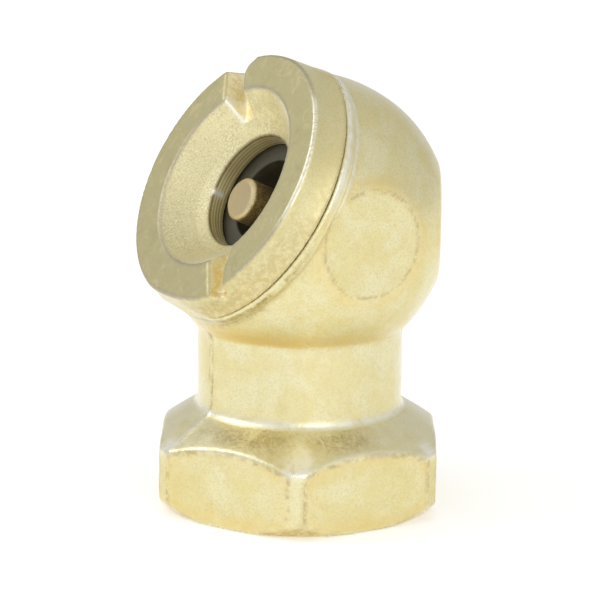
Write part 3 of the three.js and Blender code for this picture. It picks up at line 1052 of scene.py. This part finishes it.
def build_ring():
    verts, faces = surface_net(ring_distance, RING_LOW, RING_HIGH, RING_STEP)
    p = RingPoints(verts)
    attributes = {
        "rim": ramp(p.h, 7.08, 7.14) * (p.r > 6.3),
        "dish": p.in_dish.astype(float),
        "upper": ramp(p.x + p.y, -2, 4) * p.in_dish,
        "land": (p.r < LAND_R + 0.045) * within(p.h, 3.5, 4.8),
        "depth": p.h,
        "amber": band(p.h, 5.5, 0.5) * (p.r > 9) * 0.25,
        "slot": p.in_slot * 0.9,
        "line": ring_lines(p),
        "shade": land_shade(p),
        "wear_and_highlight": ring_highlights(p),
        "grime_and_shade": ring_grime_and_shade(p),
    }
    put(
        "mouth_ring", from_head(verts), faces, "housing", TURNED, ["face_ring"],
        attributes,
    )


PIN_LOW, PIN_HIGH = (-5.2, -5.2, -3.7), (5.2, 5.2, 5.5)
PIN_STEP = 0.12


def build_pin():
    verts, faces = surface_net(pin_distance, PIN_LOW, PIN_HIGH, PIN_STEP)
    r, h = np.hypot(verts[:, 0], verts[:, 1]), verts[:, 2]
    tip = (h > 5.12) & (r < 1.3)
    bright_edge = band(h, 5.12, 0.07) * (r > 1.25) * 0.8
    put(
        "depressor", from_head(droop(verts)), faces, "depressor", INNER,
        ["depressor_pin"], {"tip": tip, "wear_and_highlight": bright_edge},
    )


def build_turned(name, profile, radius, body, material, node, attributes=()):
    """A piece turned about the head's axis; its listed attributes are zero all over."""
    verts, faces = revolve(softened(profile, radius))
    zeros = {key: np.zeros(len(verts)) for key in attributes}
    put(name, from_head(verts), faces, body, material, [node], zeros)


def build_inner_pieces():
    gasket = [(2.85, 1.25), (5.75, 1.25), (5.75, 3.45), (4.6, 3.45), (3.4, 3.42), (2.85, 3.36)]
    build_turned("face_washer", gasket, 0.14, "face_seal", RUBBER, "face_gasket")
    bush = [
        (2.2, -3.6), (2.6, -3.6), (3.6, -3.3), (3.6, -2.45), (7.2, -2.45), (7.2, -1.66),
        (2.6, -1.66), (2.2, -2.0),
    ]
    marks = ("tip", "wear_and_highlight")
    build_turned("seat_bush", bush, 0.1, "housing", INNER, "seat_bushing", marks)
    washer = [(4.4, -2.89), (7.2, -2.89), (7.2, -2.51), (4.4, -2.51)]
    build_turned("bush_washer", washer, 0.06, "housing", FIBRE, "bushing_gasket")
    seal = [(1.0, -4.21), (2.88, -4.21), (2.88, -3.66), (1.0, -3.66)]
    build_turned("valve_seal", seal, 0.08, "shutoff", RUBBER, "poppet_seal")
    poppet = [
        (0.02, -6.3), (0.9, -6.3), (1.15, -6.05), (1.15, -4.9), (3.35, -4.9), (3.35, -3.88),
        (2.98, -3.88), (2.98, -4.27), (0.9, -4.27), (0.9, -3.56), (0.02, -3.56),
    ]
    build_turned("valve_poppet", poppet, 0.08, "shutoff", INNER, "poppet", marks)


SPRING_WIRE_R = 0.2
SPRING_TURNS = 2.75
SPRING_R = (1.6, 3.0)
SPRING_H = (-5.2, -7.3)


def build_spring():
    """The conical return spring, from the poppet down to the bottom of its chamber."""
    t = np.linspace(0, 1, 220)
    radius = SPRING_R[0] + (SPRING_R[1] - SPRING_R[0]) * t
    angle = t * SPRING_TURNS * 2 * math.pi
    h = SPRING_H[0] + (SPRING_H[1] - SPRING_H[0]) * t
    path = np.stack([radius * np.cos(angle), radius * np.sin(angle), h], axis=1)
    verts, faces = tube(path, SPRING_WIRE_R)
    spring = put(
        "closing_spring", from_head(verts), faces, "housing", STEEL, ["return_spring"],
    )
    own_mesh(spring)


build_body()
build_thread()
build_ring()
build_pin()
build_inner_pieces()
build_spring()


# ---------------------------------------------------------------- floor and light
FLOOR_HALF = 2.0
FLOOR_BELOW = 0.00002
FLOOR_GLOW = 0.36
AWAY_LEVEL = 0.62
FRONT_LEVEL = 0.8


def make_floor():
    """A pale floor, sizes in metres, that glows a little so that it renders nearly white."""
    mesh = bpy.data.meshes.new("floor")
    corners = [(sx * FLOOR_HALF, sy * FLOOR_HALF, 0) for sx, sy in ((-1, -1), (1, -1), (1, 1), (-1, 1))]
    mesh.from_pydata(corners, [], [(0, 1, 2, 3)])
    floor = bpy.data.objects.new("floor", mesh)
    floor.location.z = -FLOOR_BELOW
    bpy.context.scene.collection.objects.link(floor)
    paint = Paint("pale_floor", 0.0, 0.2)
    colour = paint.mix(paint.noise(60, 2, 0.5), rgb(0.88, 0.88, 0.88), rgb(0.9, 0.9, 0.9))
    paint.shader.inputs["Emission Color"].default_value = rgb(1, 1, 1)
    paint.shader.inputs["Emission Strength"].default_value = FLOOR_GLOW
    mesh.materials.append(paint.finish(colour, 0.8))


def area_light(name, where, size, power):
    """A soft square light at where (mm), aimed at the part."""
    data = bpy.data.lights.new(name, "AREA")
    data.shape = "SQUARE"
    data.size = size * MM
    data.energy = power
    light = bpy.data.objects.new(name, data)
    light.location = Vector(where) * MM
    aim = AIM - light.location
    light.rotation_mode = "QUATERNION"
    light.rotation_quaternion = aim.to_track_quat("-Z", "Y")
    bpy.context.scene.collection.objects.link(light)


def studio_world():
    """An even white surround, a little dimmer away from the side the part is seen from."""
    world = bpy.data.worlds.new("studio")
    world.use_nodes = True
    tree = world.node_tree
    direction = tree.nodes.new("ShaderNodeTexCoord").outputs["Generated"]
    towards = tree.nodes.new("ShaderNodeVectorMath")
    towards.operation = "DOT_PRODUCT"
    tree.links.new(direction, towards.inputs[0])
    towards.inputs[1].default_value = (0.82, -0.52, 0.15)
    level = tree.nodes.new("ShaderNodeMapRange")
    level.interpolation_type = "SMOOTHSTEP"
    tree.links.new(towards.outputs["Value"], level.inputs["Value"])
    level.inputs["From Min"].default_value = -0.9
    level.inputs["From Max"].default_value = 0.7
    level.inputs["To Min"].default_value = AWAY_LEVEL
    level.inputs["To Max"].default_value = FRONT_LEVEL
    background = tree.nodes["Background"]
    background.inputs["Color"].default_value = rgb(1, 1, 1)
    tree.links.new(level.outputs["Result"], background.inputs["Strength"])
    return world


def make_light():
    scene = bpy.context.scene
    scene.view_settings.view_transform = "Standard"
    scene.world = studio_world()
    area_light("key", (-120, -220, 240), 160, 0.19)
    area_light("side", (260, -60, 120), 140, 0.09)


make_floor()
make_light()
